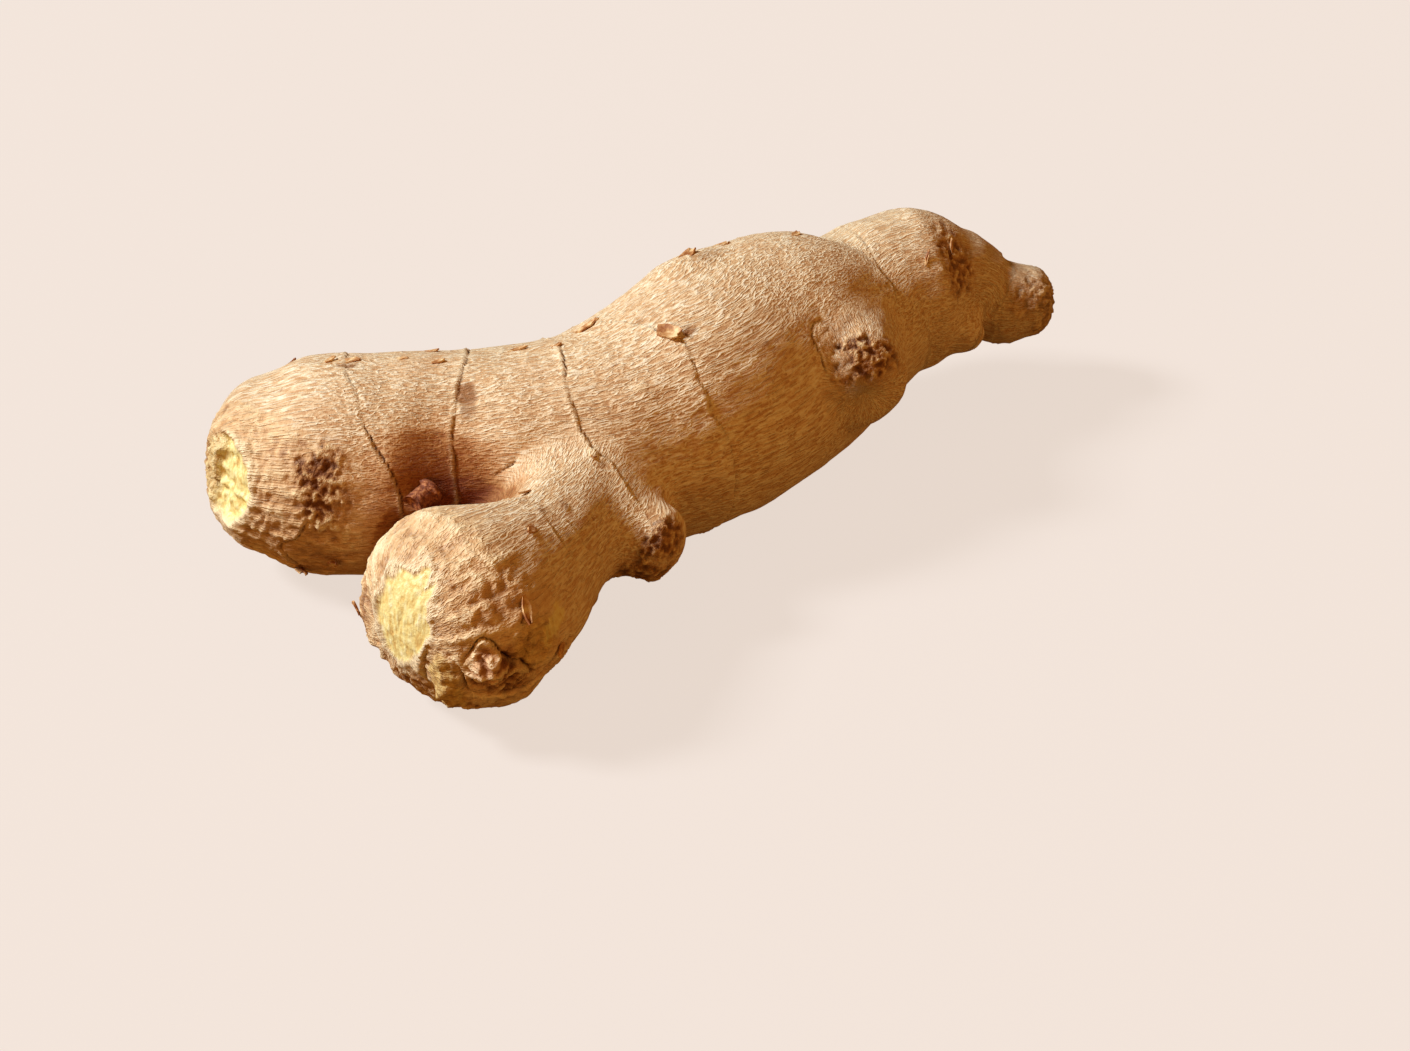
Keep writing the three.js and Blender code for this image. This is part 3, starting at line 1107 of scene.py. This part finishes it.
def nub_material():
    """Dark, reddish brown bark with a paler grain along it."""
    material, wire, shader = new_material("nub_bark")
    place = wire.add("ShaderNodeTexCoord", output=3).stretched((1 / MM,) * 3)
    grain = place.noise(0.8, detail=3.0, roughness=0.6)
    bark = grain.ramp((0.35, tone(92, 40, 18)), (0.52, tone(140, 74, 38)), (0.68, tone(186, 122, 74)))
    bump = wire.add("ShaderNodeBump", {}, {"Strength": 1.0, "Distance": MM, "Height": grain * 0.5})
    tree = material.node_tree
    tree.links.new(bark.socket, shader.inputs["Base Color"])
    tree.links.new(bump.socket, shader.inputs["Normal"])
    shader.inputs["Roughness"].default_value = 0.7
    return material


def flake_material():
    """Dry, papery brown skin, in patches from pale to dark."""
    material, wire, shader = new_material("papery_skin")
    place = wire.add("ShaderNodeTexCoord", output=3).stretched((1 / MM,) * 3)
    patches = place.noise(2.2, detail=3.0, roughness=0.6)
    colour = patches.ramp(
        (0.36, tone(150, 88, 40)), (0.5, tone(196, 144, 90)), (0.64, tone(236, 206, 156))
    )
    tree = material.node_tree
    tree.links.new(colour.socket, shader.inputs["Base Color"])
    shader.inputs["Roughness"].default_value = 0.65
    return material


def floor_material():
    """A pale, warm, matt floor."""
    material, _, shader = new_material("pale_floor")
    shader.inputs["Base Color"].default_value = tone(92, 88, 88)
    shader.inputs["Roughness"].default_value = 1.0
    shader.inputs["Specular IOR Level"].default_value = 0.0
    shader.inputs["Emission Color"].default_value = tone(252, 238, 227)
    shader.inputs["Emission Strength"].default_value = 0.79
    return material


# Half the floor's width, in metres.
FLOOR_HALF = 6


def add_floor():
    """A plain floor under the root, far wider than any view of it."""
    net = bmesh.new()
    bmesh.ops.create_grid(net, x_segments=1, y_segments=1, size=FLOOR_HALF)
    floor = new_piece("floor", net)
    floor.data.materials.append(floor_material())
    floor.visible_diffuse = False
    floor.visible_glossy = False


def aimed(thing, place, target):
    """Puts a camera or a light at a place, looking at the target."""
    thing.location = place
    thing.rotation_euler = (target - place).to_track_quat("-Z", "Y").to_euler()


def add_lamp(name, place, target, size, power, colour):
    """A soft square lamp."""
    light = bpy.data.lights.new(name, "AREA")
    light.shape = "SQUARE"
    light.size = size
    light.energy = power
    light.color = colour
    lamp = bpy.data.objects.new(name, light)
    bpy.context.scene.collection.objects.link(lamp)
    aimed(lamp, place, target)


# Each lamp's place and size in metres, its power in watts, and its colour.
LAMPS = {
    "key": ((-3.6, 1.65, 3.5), 1.2, 410.0, (0.91, 0.98, 1.0)),
    "left_fill": ((-1.35, -0.8, 0.45), 0.8, 6.0, (1.0, 0.46, 0.1)),
    "right_fill": ((0.9, -0.7, 0.5), 0.9, 4.0, (1.0, 0.46, 0.1)),
}
SKY_COLOUR = (1.0, 0.42, 0.1, 1.0)
SKY_STRENGTH = 0.14


def add_lights():
    """A nearly white key from the upper left and behind, and weak orange fills and sky."""
    middle = Vector((0, 0, 20)) * MM
    for name, (place, size, power, colour) in LAMPS.items():
        add_lamp(name, Vector(place), middle, size, power, colour)
    world = bpy.data.worlds.new("warm_sky")
    bpy.context.scene.world = world
    world.use_nodes = True
    sky = world.node_tree.nodes["Background"]
    sky.inputs["Color"].default_value = SKY_COLOUR
    sky.inputs["Strength"].default_value = SKY_STRENGTH


# What the camera looks at and how far off it is, in mm, and how high and how far round, in degrees.
CAMERA_AIM = (-6.2, -23.75, 20.0)
CAMERA_DISTANCE = 640.0
CAMERA_ELEVATION = 35.0
CAMERA_AZIMUTH = -20.0
CAMERA_LENS = 85


def add_camera():
    camera = bpy.data.objects.new("camera", bpy.data.cameras.new("camera"))
    bpy.context.scene.collection.objects.link(camera)
    camera.data.lens = CAMERA_LENS
    camera.data.clip_start = 0.01
    azimuth = math.radians(CAMERA_AZIMUTH)
    elevation = math.radians(CAMERA_ELEVATION)
    back = Vector((
        math.sin(azimuth) * math.cos(elevation),
        -math.cos(azimuth) * math.cos(elevation),
        math.sin(elevation),
    ))
    aim = Vector(CAMERA_AIM) * MM
    aimed(camera, aim + back * CAMERA_DISTANCE * MM, aim)
    bpy.context.scene.camera = camera


frame_size = (cad_box[1] - cad_box[0]) / MM
stretch = np.array(frame_size) / np.array(DRAWN_BOX, float)
limbs = {name: Limb(stops, stretch) for name, stops in MIDDLE_LINES.items()}
spots = {}
seams = {}
surface = None

ginger = shaped_skin()
ginger.data.materials.append(ginger_skin_material())
nub = broken_nub()
nub.data.materials.append(nub_material())
flakes = papery_flakes()
flakes.data.materials.append(flake_material())
for piece in (ginger, nub, flakes):
    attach(piece, "root")
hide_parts("ginger_root")

add_floor()
add_lights()
add_camera()
bpy.context.scene.view_settings.view_transform = "Standard"
